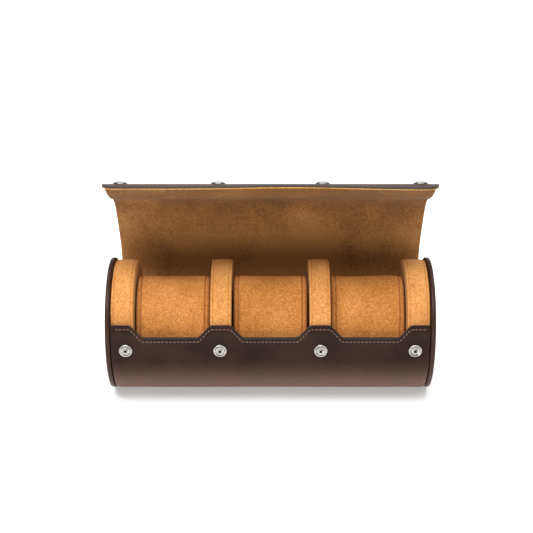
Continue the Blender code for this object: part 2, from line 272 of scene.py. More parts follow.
def make_suede(name, dark, middle, light, blotch=30.0, cloudy=0.22, sheen=0.12, painted_light_heights=None):
    """Napped suede: brushed blotches, short fibres and a soft sheen."""
    made, nodes, links, surface = new_material(name)
    vector = object_coordinates(nodes, links, (1.0, 1.0, 1.0))
    brushed = object_coordinates(nodes, links, (1.0, 1.0, 0.55))
    patches = noise(nodes, links, brushed, blotch, 4.0, 0.58, 0.4)
    tufts = noise(nodes, links, vector, 560.0, 3.0, 0.66, 0.2)
    fibres = noise(nodes, links, vector, 1350.0, 3.0, 0.74)
    shade = math_node(nodes, links, "ADD", math_node(nodes, links, "MULTIPLY", patches, cloudy),
                      math_node(nodes, links, "MULTIPLY", tufts, 0.30))
    shade = math_node(nodes, links, "ADD", shade, math_node(nodes, links, "MULTIPLY", fibres, 0.70 - cloudy))
    # Painted light: lighter towards the lower height, and darker towards the upper one as painted shade.
    if painted_light_heights:
        shade = math_node(nodes, links, "ADD", shade, upwards(nodes, links, vector, painted_light_heights, 0.08, -0.08))
    colour = ramp(nodes, links, shade, [(0.40, dark), (0.5, middle), (0.60, light)])
    links.new(colour, surface.inputs["Base Color"])
    surface.inputs["Roughness"].default_value = 0.93
    surface.inputs["Specular IOR Level"].default_value = 0.18
    surface.inputs["Sheen Weight"].default_value = sheen
    surface.inputs["Sheen Roughness"].default_value = 0.5
    surface.inputs["Sheen Tint"].default_value = (1.0, 0.72, 0.42, 1.0)
    nap = math_node(nodes, links, "ADD", math_node(nodes, links, "MULTIPLY", tufts, 0.6),
                    math_node(nodes, links, "MULTIPLY", fibres, 0.5))
    bump(nodes, links, surface, nap, 0.55, 0.0006)
    return made


def make_plain(name, dark, light, rough, scale, metallic=0.0, strength=0.1, distance=0.0001):
    """A simpler finish with a fine variation of colour, gloss and surface."""
    made, nodes, links, surface = new_material(name)
    vector = object_coordinates(nodes, links, (1.0, 1.0, 1.0))
    speckle = noise(nodes, links, vector, scale, 4.0, 0.6)
    links.new(ramp(nodes, links, speckle, [(0.35, dark), (0.65, light)]), surface.inputs["Base Color"])
    links.new(remap(nodes, links, speckle, rough[0], rough[1]), surface.inputs["Roughness"])
    surface.inputs["Metallic"].default_value = metallic
    bump(nodes, links, surface, speckle, strength, distance)
    return made


LEATHER_SKIN = make_leather("leather_espresso", (0.013, 0.0046, 0.0028), (0.057, 0.0215, 0.0132), gloss=0.18)
# The shell's leather is painted lighter low down, as a painted floor reflection, and darker at the top, as
# painted shade.
SHELL_SKIN = make_leather(
    "leather_shell", (0.0135, 0.0046, 0.0024), (0.122, 0.060, 0.0385), painted_reflection_heights=(0.012, 0.046), gloss=0.11
)
EDGE_PAINT = make_plain("edge_paint", (0.012, 0.006, 0.005), (0.024, 0.012, 0.009), (0.35, 0.5), 260.0)
SUEDE = make_suede("suede_golden", (0.27, 0.095, 0.018), (0.455, 0.18, 0.042), (0.61, 0.28, 0.082))
DIVIDER_SUEDE = make_suede("suede_divider", (0.38, 0.15, 0.034), (0.56, 0.245, 0.068), (0.73, 0.38, 0.125))
# The flap's suede is painted lighter lower down and darker at the top, standing in for how the light falls on
# it.
FLAP_NAP = make_suede(
    "suede_flap", (0.125, 0.050, 0.015), (0.26, 0.112, 0.032), (0.43, 0.205, 0.062), 22.0, 0.34,
    painted_light_heights=(0.085, 0.150)
)
SUEDE_EDGE = make_suede("suede_edge", (0.27, 0.115, 0.024), (0.45, 0.22, 0.05), (0.62, 0.35, 0.10))
THREAD = make_plain(
    "thread_brown", (0.13, 0.062, 0.045), (0.25, 0.135, 0.10), (0.5, 0.7), 1800.0, 0.0, 0.4, 0.0002
)
SUEDE_THREAD = make_plain(
    "thread_tan", (0.20, 0.085, 0.026), (0.36, 0.17, 0.055), (0.6, 0.8), 1800.0, 0.0, 0.4, 0.0002
)
NICKEL = make_plain("nickel_plate", (0.30, 0.29, 0.27), (0.46, 0.445, 0.42), (0.10, 0.19), 420.0, 1.0, 0.04)
STEEL = make_plain("spring_wire", (0.42, 0.42, 0.43), (0.58, 0.58, 0.58), (0.25, 0.38), 700.0, 1.0, 0.1)


# ---------------------------------------------------------------- mesh helpers


def link_mesh(name, mesh, *materials):
    obj = bpy.data.objects.new(name, mesh)
    bpy.context.scene.collection.objects.link(obj)
    for material in materials:
        mesh.materials.append(material)
    return obj


def coordinates(mesh):
    flat = np.empty(len(mesh.vertices) * 3)
    mesh.vertices.foreach_get("co", flat)
    return flat.reshape(-1, 3)


def set_coordinates(mesh, points):
    mesh.vertices.foreach_set("co", np.asarray(points, float).ravel())
    mesh.update()


def face_outward(mesh, sharp=40.0):
    shape = bmesh.new()
    shape.from_mesh(mesh)
    bmesh.ops.recalc_face_normals(shape, faces=shape.faces)
    shape.to_mesh(mesh)
    shape.free()
    mesh.shade_smooth()
    mesh.set_sharp_from_angle(angle=math.radians(sharp))


def flat_place(vert):
    return round(vert.co.x, 5), round(vert.co.y, 5)


def plate(name, columns, rows_of, thickness, rounding, open_ends=()):
    """A flat plate in (x, s, n), later bent to shape. rows_of gives each column's s values.

    Its outer face lies at n = 0 and its inner face at n = -thickness. An open end stays square, because the
    next piece carries on from it. The sides take the second material.
    """
    shape = bmesh.new()
    grid = [[shape.verts.new((x, s, 0.0)) for s in rows_of(x)] for x in columns]
    for left, right in zip(grid, grid[1:]):
        for index in range(len(left) - 1):
            shape.faces.new((left[index], right[index], right[index + 1], left[index + 1]))
    ends = {"low": [column[0] for column in grid], "high": [column[-1] for column in grid]}
    square = {flat_place(vert) for end in open_ends for vert in ends[end]}
    made = bmesh.ops.extrude_face_region(shape, geom=list(shape.faces))
    for item in made["geom"]:
        if isinstance(item, bmesh.types.BMVert):
            item.co.z -= thickness
    bmesh.ops.recalc_face_normals(shape, faces=shape.faces)
    shape.normal_update()
    walls = [face for face in shape.faces if abs(face.normal.z) < 0.5]
    for face in shape.faces:
        face.material_index = 0
    rims = []
    for face in walls:
        face.material_index = 1
        for edge in face.edges:
            meets_flat = any(abs(near.normal.z) > 0.5 for near in edge.link_faces)
            if meets_flat and not all(flat_place(vert) in square for vert in edge.verts):
                rims.append(edge)
    bmesh.ops.bevel(shape, geom=list(set(rims)), offset=rounding, segments=3, profile=0.5,
                    affect="EDGES", material=1, clamp_overlap=True)
    mesh = bpy.data.meshes.new(name)
    shape.to_mesh(mesh)
    shape.free()
    return mesh


def bent(mesh, where):
    """Bends a flat plate: where takes arrays of x, s and n and gives points in millimetres."""
    flat = coordinates(mesh)
    set_coordinates(mesh, where(flat[:, 0], flat[:, 1], flat[:, 2]) * MM)
    face_outward(mesh)
    return mesh


def tube_faces(rows, around, first=0, joined=False):
    """Faces between rows of points that are rings. A joined tube runs from its last row back to its first."""
    faces = []
    for row in range(rows if joined else rows - 1):
        low = first + row * around
        high = first + (row + 1) % rows * around
        for index in range(around):
            after = (index + 1) % around
            faces.append((low + index, low + after, high + after, high + index))
    return faces


def end_faces(rows, around, first=0):
    last = first + (rows - 1) * around
    return [tuple(range(first, first + around)), tuple(range(last, last + around))]


def turned(name, profile, steps=48):
    """A turned solid about +Z from (radius, height) points that run down its outer side, in a closed loop."""
    profile = np.asarray(profile, float)
    angles = np.arange(steps) * 2.0 * math.pi / steps
    points = []
    for radius, height in profile:
        points += [(radius * math.cos(a), radius * math.sin(a), height) for a in angles]
    mesh = bpy.data.meshes.new(name)
    mesh.from_pydata(points, [], tube_faces(len(profile), steps, joined=True))
    shape = bmesh.new()
    shape.from_mesh(mesh)
    bmesh.ops.remove_doubles(shape, verts=shape.verts, dist=1e-5)
    bmesh.ops.recalc_face_normals(shape, faces=shape.faces)
    shape.to_mesh(mesh)
    shape.free()
    return mesh


def rounded_profile(points, radius, steps=3):
    """Rounds every corner of a closed profile by a small radius, apart from corners on the axis."""
    made = []
    count = len(points)
    for index, point in enumerate(points):
        here = Vector((*point, 0.0))
        before = Vector((*points[index - 1], 0.0)) - here
        after = Vector((*points[(index + 1) % count], 0.0)) - here
        if point[0] < 1e-6:
            made.append(point)
            continue
        reach = min(radius, before.length * 0.45, after.length * 0.45)
        start = here + before.normalized() * reach
        end = here + after.normalized() * reach
        for step in range(steps + 1):
            t = step / steps
            spot = start * (1 - t) ** 2 + here * 2 * t * (1 - t) + end * t * t
            made.append((spot.x, spot.y))
    return made


# ---------------------------------------------------------------- shell


def edge_rise(x):
    """Height of the front edge above its scallops, from 0 to 1, with the corners a little rounded."""
    x = np.abs(np.asarray(x, float))
    total = np.zeros_like(x)
    offsets = np.linspace(-1.5, 1.5, 9)
    for offset in offsets:
        at = x + offset
        middle = (at - MIDDLE_SCALLOP[1]) / EDGE_SLOPE
        side = np.maximum((SIDE_SCALLOP[0] - at) / EDGE_SLOPE, (at - SIDE_SCALLOP[1]) / EDGE_SLOPE)
        total += np.clip(np.minimum(middle, side), 0.0, 1.0)
    return total / len(offsets)


def edge_arc(x):
    """Arc length, from the front horizontal, of the shell's front edge."""
    angle = SCALLOP_ANGLE + (BUMP_ANGLE - SCALLOP_ANGLE) * edge_rise(x)
    return np.radians(angle) * RADIUS


def edge_columns(half, coarse=3.0, fine=0.8):
    """Places along the shell, closer together where its front edge slopes."""
    places = [-half, half]
    slopes = []
    for edge, direction in ((MIDDLE_SCALLOP[1], 1.0), (SIDE_SCALLOP[0], -1.0), (SIDE_SCALLOP[1], 1.0)):
        low, high = sorted((edge - direction * 2.5, edge + direction * (EDGE_SLOPE + 2.5)))
        slopes += [(low, high), (-high, -low)]
    x = -half
    while x < half:
        places.append(x)
        near = any(low - 0.1 <= x <= high for low, high in slopes)
        x += fine if near else coarse
    places = sorted(places)
    kept = [places[0]]
    for place in places[1:-1]:
        if place - kept[-1] > 0.5 and half - place > 0.5:
            kept.append(place)
    return [kept[0], kept[0] + 0.45] + kept[1:] + [half - 0.45, half]


# Distances in from the front edge, for the rows of points beside it
EDGE_STEPS = (13.0, 10.0, 8.0, 6.5, 5.4, 4.6, 4.1, 3.8, 3.5, 3.2, 2.9, 2.4, 1.7, 1.0, 0.0)


def shell_rows(back, step=2.2, inset=0.0):
    """Rows of points round the shell, from an angle at the back to its front edge."""
    start = math.radians(back) * RADIUS

    def rows(x):
        end = float(edge_arc(x)) - inset
        fixed_top = math.radians(SCALLOP_ANGLE - 1.0) * RADIUS - 14.0
        count = int((fixed_top - start) / step)
        values = [start + (fixed_top - start) * index / count for index in range(count + 1)]
        return values + [end - distance for distance in EDGE_STEPS]

    return rows


def stitch_groove(distance, depth=0.22, width=0.62):
    """Depth of the groove that the stitches lie in, at a distance in from the edge."""
    return depth * np.exp(-(((distance - STITCH_INSET) / width) ** 2))


def bend_shell(x, s, n):
    """Wraps the flat skin round the roll, with its stitch groove, soft ends and a slight unevenness."""
    angle = np.degrees(s / RADIUS)
    edge_distance = edge_arc(x) - s
    outer = n > -LEATHER * 0.5
    n = n - np.where(outer & (s > -20.0), stitch_groove(edge_distance), 0.0)
    n = n - np.where(outer, 0.35 * smooth(np.abs(x), SHELL_HALF - 1.6, SHELL_HALF) ** 2, 0.0)
    wobble = 0.10 * np.sin(x * 0.047 + 1.3) * np.sin(s * 0.061 + 0.4)
    return roll_points(x, RADIUS + n + np.where(outer, wobble, 0.0), angle, BASE_DROP + n)


def stitch_mesh(name, places, length=2.2, width=0.66, height=0.52, material=None):
    """One small raised thread for each (point, along, out) triple, all in one mesh, in millimetres."""
    ring = 7
    stations = (-0.5, -0.44, -0.3, 0.0, 0.3, 0.44, 0.5)
    swell = (0.25, 0.62, 0.92, 1.0, 0.92, 0.62, 0.25)
    sink = (-0.30, -0.16, -0.03, 0.0, -0.03, -0.16, -0.30)
    points = []
    faces = []
    for point, along, out in places:
        point, along, out = Vector(point), Vector(along).normalized(), Vector(out).normalized()
        side = along.cross(out).normalized()
        base = len(points)
        for station, scale, drop in zip(stations, swell, sink):
            centre = point + along * (station * length) + out * (drop + 0.02)
            for index in range(ring):
                turn = 2.0 * math.pi * index / ring
                points.append(centre + side * (math.cos(turn) * width / 2 * scale)
                              + out * (math.sin(turn) * height / 2 * scale))
        faces += tube_faces(len(stations), ring, base) + end_faces(len(stations), ring, base)
    mesh = bpy.data.meshes.new(name)
    mesh.from_pydata([tuple(Vector(p) * MM) for p in points], [], faces)
    face_outward(mesh, 60.0)
    return link_mesh(name, mesh, material or THREAD)


def evenly(points, pitch):
    """Points at one pitch along a polyline, with the direction at each."""
    points = np.asarray(points, float)
    steps = np.linalg.norm(np.diff(points, axis=0), axis=1)
    along = np.concatenate([[0.0], np.cumsum(steps)])
    count = max(2, int(along[-1] / pitch))
    spots = (np.arange(count) + 0.5) * along[-1] / count

    def at(distances):
        return np.stack([np.interp(distances, along, column) for column in points.T], axis=1)

    near = 0.4
    return at(spots), at(np.minimum(spots + near, along[-1])) - at(np.maximum(spots - near, 0.0))


def make_shell():
    columns = edge_columns(SHELL_HALF)
    mesh = plate("shell_leather_skin", columns, shell_rows(BODY_BACK), LEATHER, 0.55, ("low",))
    skin = link_mesh("shell_leather_skin", bent(mesh, bend_shell), SHELL_SKIN, EDGE_PAINT)
    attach(skin, "body")
    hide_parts("body_leather", "shell_board")

    inset = LEATHER + LINING_GAP

    def bend_lining(x, s, n):
        angle = np.degrees(s / RADIUS)
        ripple = 0.06 * np.sin(x * 0.11) * np.sin(s * 0.09)
        return roll_points(x, RADIUS - inset + n + ripple, angle, BASE_DROP - inset + n)

    mesh = plate("shell_lining_suede", columns, shell_rows(LINING_BACK, 3.0, 0.3), LINING, 0.2)
    lining = link_mesh("shell_lining_suede", bent(mesh, bend_lining), SUEDE, SUEDE_EDGE)
    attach(lining, "body")
    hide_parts("body_lining")

    x = np.linspace(-SHELL_HALF + 3.0, SHELL_HALF - 3.0, 1200)
    spots, directions = evenly(np.stack([x, edge_arc(x) - STITCH_INSET], axis=1), STITCH_PITCH)
    places = []
    for (sx, ss), (dx, ds) in zip(spots, directions):
        angle = math.degrees(ss / RADIUS)
        point = roll_points(sx, RADIUS - STITCH_DEPTH, angle)
        ahead_angle = math.degrees((ss + ds * 0.1) / RADIUS)
        ahead = roll_points(sx + dx * 0.1, RADIUS - STITCH_DEPTH, ahead_angle)
        out = roll_points(0.0, 1.0, angle) - roll_points(0.0, 0.0, angle)
        places.append((point, ahead - point, out))
    stitches = stitch_mesh("front_edge_stitches", places)
    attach(stitches, "body")


# ---------------------------------------------------------------- end caps


def cap_mesh(name, sign):
    """A shallow leather-covered disc with a rounded rim, a turned-in back edge and a slightly domed face."""
    span = CAP_OUTER - CAP_INNER
    back = CAP_INNER - CAP_OUTER
    profile = [(back + 0.1, 5.0), (back + 0.1, 1.6), (back + 0.12, 1.0), (back + 0.35, 0.45)]
    profile += [(back + 0.8, 0.1)]
    profile += [(-span * 0.5, 0.0), (-0.95, 0.06), (-0.55, 0.25), (-0.25, 0.6), (-0.08, 1.1), (-0.02, 1.8)]
    profile += [(-0.05, 2.6), (-0.12, 3.1), (-0.2, 3.5), (-0.12, 3.9), (-0.04, 4.5), (0.0, 6.0), (0.0, 9.0)]
    profile += [(0.0, 14.0), (0.0, 22.0), (0.0, 32.0), (0.0, 42.0)]
    steps = 180
    angles = np.arange(steps) * 360.0 / steps
    points = []
    for depth, inset in profile:
        ring = roll_points(np.full(steps, 0.0), RADIUS - inset, angles, BASE_DROP - inset)
        ring[:, 0] = sign * (CAP_OUTER + depth)
        points += [tuple(p * MM) for p in ring]
    mesh = bpy.data.meshes.new(name)
    mesh.from_pydata(points, [], tube_faces(len(profile), steps) + end_faces(len(profile), steps))
    face_outward(mesh, 50.0)
    return mesh


def make_end_caps():
    for side, sign in (("left", -1.0), ("right", 1.0)):
        name = f"end_cap_{side}_cover"
        cap = link_mesh(name, cap_mesh(name, sign), LEATHER_SKIN)
        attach(cap, "body")
        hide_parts(f"end_cap_{side}_leather", f"end_cap_{side}_board")
        angles = np.linspace(0.0, 360.0, 721)
        ring = roll_points(np.zeros(721), RADIUS - STITCH_INSET, angles, BASE_DROP - STITCH_INSET)[:, 1:]
        spots, directions = evenly(ring, STITCH_PITCH)
        places = []
        for (y, z), (dy, dz) in zip(spots, directions):
            places.append(((sign * (CAP_OUTER - 0.14), y, z), (0.0, dy, dz), (sign, 0.0, 0.0)))
        stitches = stitch_mesh(f"end_cap_{side}_stitches", places)
        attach(stitches, "body")


# ---------------------------------------------------------------- dividers


def divider_radius(angle):
    """The divider stands a little prouder over the top, between the front edge and the back."""
    front = smooth(angle, 28.5, 42.0)
    back = 1.0 - smooth(angle, 160.0, 179.0)
    return DIVIDER_RADIUS + (DIVIDER_BULGE - DIVIDER_RADIUS) * np.minimum(front, back)


def make_divider(number, left, right):
    """A padded disc: side panels sewn to a rim strip, with a pressed seam near each side of the rim."""
    width = right - left
    half = [(0.55, 30.0), (0.45, 22.0), (0.3, 14.0), (0.16, 8.0), (0.08, 5.0), (0.04, 3.2), (0.06, 1.9)]
    half += [(0.16, 1.1), (0.36, 0.6), (0.7, 0.3), (1.15, 0.18), (1.6, 0.16), (1.8, 0.26)]
    half += [(1.94, 0.82), (2.06, 0.9)]
    half += [(2.18, 0.82), (2.32, 0.22), (2.7, 0.08), (3.6, 0.02), (4.8, 0.0), (6.4, -0.04)]
    profile = half + [(width / 2.0, -0.08)] + [(width - x, inset) for x, inset in reversed(half)]
    steps = 160
    angles = np.arange(steps) * 360.0 / steps - 90.0
    base = divider_radius(angles)
    turn = np.radians(angles)
    soft = 0.16 * np.sin(turn * 5.0 + number * 1.7) + 0.08 * np.sin(turn * 11.0 + number)
    lean = 0.048 * np.sin(turn * 3.0 + number * 2.1)
    points = []
    for x, inset in profile:
        radius = base - inset + soft * (inset < 1.0)
        ring = roll_points(np.zeros(steps), radius, angles, DIVIDER_BASE - inset)
        on_side = not 1.0 < x < width - 1.0
        ring[:, 0] = left + x + lean * on_side
        points += [tuple(p * MM) for p in ring]
    name = f"divider_{number}_padded"
    mesh = bpy.data.meshes.new(name)
    mesh.from_pydata(points, [], tube_faces(len(profile), steps) + end_faces(len(profile), steps))
    face_outward(mesh, 70.0)
    obj = link_mesh(name, mesh, DIVIDER_SUEDE)
    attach(obj, "body")
    replaced = [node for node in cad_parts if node.startswith(f"divider_{number}_")]
    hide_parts(*sorted(replaced))


# ---------------------------------------------------------------- flap


def turned_back(y, z, pivot, degrees):
    """Opens (y, z) points about a pivot: the flap swings up and back."""
    turn = np.radians(degrees)
    c, s = np.cos(turn), np.sin(turn)
    dy, dz = y - pivot[0], z - pivot[1]
    return pivot[0] + dy * c + dz * s, pivot[1] - dy * s + dz * c


def closed_point(radius, span_angle):
    """A (y, z) point of the closed flap, at an angle round the roll from the hinge line."""
    turn = np.radians(180.0 - span_angle)
    return -radius * np.cos(turn), radius * np.sin(turn) + BASE_DROP


HINGE = closed_point(HINGE_RADIUS, 0.0)
BEND_1 = turned_back(*closed_point(FLAP_OUTER, BENDS[1]), HINGE, OPENED[0])
BEND_2 = turned_back(*closed_point(FLAP_OUTER, BENDS[2]), closed_point(FLAP_OUTER, BENDS[1]), OPENED[1])
BEND_2 = turned_back(*BEND_2, HINGE, OPENED[0])
PIVOTS = (HINGE, BEND_1, BEND_2)


def blend_line(part):
    """Start and end, in (y, z), of the stretch over which a part of the flap bends."""
    turned_so_far = sum(OPENED[:part]) + OPENED[part] * 0.5
    heading = math.radians(90.0 + BENDS[part] - turned_so_far)
    along = np.array([math.cos(heading), math.sin(heading)])
    pivot = np.array(PIVOTS[part])
    back, forward = BLEND_REACH[part]
    return pivot - along * back, pivot + along * forward


def opened(part, y, z):
    """Where closed points of one part of the flap come to rest with the flap open."""
    if part >= 1:
        if part == 2:
            y, z = turned_back(y, z, closed_point(FLAP_OUTER, BENDS[1]), OPENED[1])
        y, z = turned_back(y, z, HINGE, OPENED[0])
    start, end = blend_line(part)
    line = end - start
    weight = np.full(np.shape(y), 0.5)
    for _ in range(60):
        now_y, now_z = turned_back(y, z, PIVOTS[part], OPENED[part] * weight)
        t = np.clip(((now_y - start[0]) * line[0] + (now_z - start[1]) * line[1]) / (line @ line), 0.0, 1.0)
        weight = 0.5 * weight + 0.5 * (t * t * (3.0 - 2.0 * t))
    return turned_back(y, z, PIVOTS[part], OPENED[part] * weight)


def flap_half(span_angle):
    """Half the flap's width: it is a little narrower where it leaves the shell."""
    return FLAP_ROOT_HALF + (FLAP_HALF - FLAP_ROOT_HALF) * smooth(span_angle, 3.0, 24.0)


def flap_edge_distance(x, span_angle):
    """Distance in from the nearest free edge of the flap, round its corners too."""
    side = flap_half(span_angle) - np.abs(x)
    front = (FLAP_SPAN - span_angle) * ARC_MM
    corner = (side < FLAP_CORNER) & (front < FLAP_CORNER)
    round_in = FLAP_CORNER - np.hypot(FLAP_CORNER - side, FLAP_CORNER - front)
    return np.where(corner, round_in, np.minimum(side, front))


def flap_easing():
    """How far the closed flap stands off a true circle, so that it opens into one smooth curve."""
    angles = np.arange(-6.0, FLAP_SPAN + 0.1, 0.5)
    part = np.searchsorted(FLAP_CUTS[1:3], angles)
    curve = np.zeros((len(angles), 2))
    for index in range(3):
        here = part == index
        y, z = closed_point(FLAP_OUTER - FLAP_LEATHER, angles[here])
        curve[here] = np.stack(opened(index, y, z), axis=-1)
    even = curve.copy()
    for _ in range(EASING_PASSES):
        even[1:-1] = (even[:-2] + 2.0 * even[1:-1] + even[2:]) / 4.0
    along = np.gradient(curve, axis=0)
    outward = np.stack([along[:, 1], -along[:, 0]], axis=-1) / np.linalg.norm(along, axis=1)[:, None]
    window = smooth(angles, 0.0, 10.0) * (1.0 - smooth(angles, 152.0, 174.0))
    stand = EASING * window * np.sum((even - curve) * outward, axis=1)
    return angles, soft_max(stand, -1.5, 0.6)


FLAP_STAND = flap_easing()


def flap_surface(part, layer):
    """Places a flap plate's (x, s, n). Layer is leather, outermost, or suede."""

    def where(x, s, n):
        angle = s / ARC_MM
        outer = n > -FLAP_LEATHER * 0.5
        inner = n < -FLAP_SUEDE * 0.5
        widen = np.where(angle < 30.0, flap_half(angle) / FLAP_HALF, 1.0)
        x = x * widen
        rise = smooth(angle, 0.0, 22.0)
        n = n + np.interp(angle, *FLAP_STAND)
        if layer == "leather":
            radius = RADIUS + (FLAP_OUTER - RADIUS) * rise + n
            groove = stitch_groove(flap_edge_distance(x, angle), 0.2)
            radius = radius - np.where(outer & (angle > -2.0), groove, 0.0)
        else:
            root = RADIUS - LEATHER - 0.9
            radius = root + (FLAP_OUTER - FLAP_LEATHER - 0.02 - root) * smooth(angle, -4.0, 22.0) + n
            nap = 0.10 * np.sin(x * 0.13 + s * 0.05) * np.sin(s * 0.17 + 0.6)
            radius = radius + np.where(inner, nap, 0.0)
            radius = radius + np.where(inner, stitch_groove(flap_edge_distance(x, angle), 0.16), 0.0)
        bow = smooth(angle, 180.0, FLAP_SPAN) * (1.0 - (x / FLAP_HALF) ** 2)
        radius = radius + 1.3 * bow + 0.35 * np.sin(x * 0.045 + 0.8) * smooth(angle, 176.0, FLAP_SPAN)
        y, z = closed_point(radius, angle)
        y, z = opened(part, y, z)
        return np.stack([x, y, z], axis=-1)

    return where


def flap_columns(rounded):
    half = FLAP_HALF
    middle = list(np.linspace(-half + FLAP_CORNER, half - FLAP_CORNER, 74))
    if rounded:
        turns = np.radians(np.linspace(0.0, 90.0, 13)[1:])
        corner = [half - FLAP_CORNER + FLAP_CORNER * math.sin(t) for t in turns]
    else:
        corner = [half - d for d in (7.0, 5.2, 4.5, 4.0, 3.5, 3.0, 2.5, 1.6, 0.8, 0.0)]
    return [-x for x in reversed(corner)] + middle + corner


def flap_rows(part):
    """Rows of points along one part of the flap. The front part follows its rounded corners."""
    start, end = FLAP_CUTS[part], FLAP_CUTS[part + 1]
    last = part == 2

    def rows(x):
        low, high = start * ARC_MM, end * ARC_MM
        if not last:
            count = round((high - low) / 1.8)
            return [low + (high - low) * index / count for index in range(count + 1)]
        past = max(0.0, abs(x) - (FLAP_HALF - FLAP_CORNER))
        high -= FLAP_CORNER - math.sqrt(max(0.0, FLAP_CORNER**2 - past**2))
        fixed = end * ARC_MM - 24.0
        count = round((fixed - low) / 1.8)
        values = [low + (fixed - low) * index / count for index in range(count + 1)]
        inner = high - 7.0
        values += [fixed + (inner - fixed) * index / 8.0 for index in range(1, 9)]
        return values + [high - d for d in (5.6, 4.8, 4.2, 3.8, 3.5, 3.2, 2.8, 2.2, 1.4, 0.7, 0.0)]

    return rows


def dress_flap_part(obj, part, slot_name, *nodes):
    """Bakes the mesh's transform into its points and hides the CAD parts it stands in for."""
    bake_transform(obj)
    if nodes:
        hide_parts(*nodes)


def flap_stitches(part, side):
    """Threads along the free edges, on the leather side or on the suede side of one part of the flap."""
    inset = STITCH_INSET
    half = FLAP_HALF - inset
    length = FLAP_SPAN * ARC_MM
    bend = FLAP_CORNER - inset
    path = [(-half, 2.0)]
    path += [(-half, s) for s in np.arange(4.0, length - FLAP_CORNER, 2.0)]
    turns = np.radians(np.linspace(0.0, 90.0, 14))
    path += [(-half + bend - bend * math.cos(t), length - FLAP_CORNER + bend * math.sin(t)) for t in turns]
    path += [(x, length - inset) for x in np.arange(-half + bend + 2.0, half - bend, 2.0)]
    path += [(half - bend + bend * math.sin(t), length - FLAP_CORNER + bend * math.cos(t)) for t in turns]
    path += [(half, s) for s in np.arange(length - FLAP_CORNER, 4.0, -2.0)]
    path += [(half, 2.0)]
    spots, directions = evenly(path, STITCH_PITCH)
    low, high = FLAP_CUTS[part] * ARC_MM, FLAP_CUTS[part + 1] * ARC_MM
    lift = -0.12 if side == "leather" else -FLAP_SUEDE + 0.10
    where = flap_surface(part, side)
    places = []
    for (x, s), (dx, ds) in zip(spots, directions):
        if not low <= s < high + (1.0 if part == 2 else 0.0):
            continue
        around = np.array([[x, s], [x + dx * 0.1, s + ds * 0.1], [x + 0.2, s], [x, s + 0.2]])
        made = where(around[:, 0], around[:, 1], np.full(4, lift))
        out = np.cross(made[2] - made[0], made[3] - made[0])
        middle_y, middle_z = made[0][1], made[0][2]
        towards_axis = np.array([0.0, -middle_y - 10.0, BASE_DROP + 30.0 - middle_z])
        if (out @ towards_axis > 0.0) == (side == "leather"):
            out = -out
        places.append((made[0], made[1] - made[0], out))
    return places


def make_flap():
    names = ("rear", "mid", "front")
    for part, name in enumerate(names):
        open_ends = ("low", "high") if part < 2 else ("low",)
        columns = flap_columns(part == 2)
        mesh = plate(f"flap_{name}_leather", columns, flap_rows(part), FLAP_LEATHER, 0.38, open_ends)
        leather = link_mesh(f"flap_{name}_leather", bent(mesh, flap_surface(part, "leather")),
                            LEATHER_SKIN, EDGE_PAINT)
        dress_flap_part(leather, part, "leather", f"lid_{name}_leather")
        mesh = plate(f"flap_{name}_suede", columns, flap_rows(part), FLAP_SUEDE, 0.22, open_ends)
        suede = link_mesh(f"flap_{name}_suede", bent(mesh, flap_surface(part, "suede")), FLAP_NAP, SUEDE_EDGE)
        dress_flap_part(suede, part, "flap_suede", f"lid_{name}_lining")
        outside = stitch_mesh(f"flap_{name}_stitches", flap_stitches(part, "leather"))
        dress_flap_part(outside, part, "leather")
        threads = flap_stitches(part, "suede")
        inside = stitch_mesh(f"flap_{name}_inner_stitches", threads, material=SUEDE_THREAD)
        dress_flap_part(inside, part, "flap_suede")


# ---------------------------------------------------------------- snaps


def place_snap(obj, x, body):
    """Stands a turned piece on the closed roll at the snap angle, then opens it if it is on the flap."""
    turn = math.radians(SNAP_ANGLE)
    points = coordinates(obj.data)
    y = -points[:, 2] * math.cos(turn) - points[:, 1] * math.sin(turn)
    z = points[:, 2] * math.sin(turn) - points[:, 1] * math.cos(turn) + BASE_DROP
    if body == "lid_front":
        y, z = turned_back(y, z, closed_point(FLAP_OUTER, BENDS[2]), OPENED[2])
        y, z = turned_back(y, z, closed_point(FLAP_OUTER, BENDS[1]), OPENED[1])
        y, z = turned_back(y, z, HINGE, OPENED[0])
    set_coordinates(obj.data, np.stack([points[:, 0] + x, y, z], axis=-1) * MM)
    face_outward(obj.data, 50.0)
    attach(obj, body)


def snap_profiles():
    """Outlines of the turned pieces of one snap, as (radius, distance from the roll's axis)."""
    face = RADIUS + 0.02
    top = FLAP_OUTER + 0.02
    stud = [(1.2, face + 1.45), (1.55, face + 1.56), (1.95, face + 1.35), (2.0, face + 1.05)]
    stud += [(1.65, face + 0.7), (1.65, face + 0.1), (2.1, face - 0.1), (3.1, face - 0.1), (3.6, face + 0.2)]
    stud += [(4.15, face + 0.48), (4.7, face + 0.36), (5.0, face + 0.1), (4.95, face - 0.3)]
    stud += [(1.2, face - 0.3)]
    eyelet = [(0.98, face + 1.0), (1.04, face + 1.32), (1.16, face + 1.38)]
    eyelet += [(1.16, face - 2.8), (0.98, face - 2.8)]
    cap = [(0.0, top + 1.75), (1.6, top + 1.7), (3.1, top + 1.47), (4.2, top + 1.1), (4.95, top + 0.65)]
    cap += [(5.25, top + 0.3), (5.2, top + 0.02), (4.6, top - 0.15), (1.3, top - 0.15)]
    cap += [(1.3, SOCKET_TOP - 0.4), (0.0, SOCKET_TOP - 0.4)]
    socket = [(1.55, SOCKET_TOP), (4.6, SOCKET_TOP), (5.0, 52.55), (5.0, 51.75), (4.7, 51.45), (3.9, 51.35)]
    socket += [(3.1, 51.42), (2.7, 51.33), (2.35, 51.4), (2.3, 51.5), (2.75, 51.58), (2.75, 52.0)]
    socket += [(2.3, 52.05), (2.3, 52.4), (1.55, 52.4)]
    turns = np.linspace(math.pi, -math.pi, 11)[:-1]
    spring = [(2.42 + 0.2 * math.cos(turn), 51.78 + 0.17 * math.sin(turn)) for turn in turns]
    return stud, eyelet, cap, socket, spring


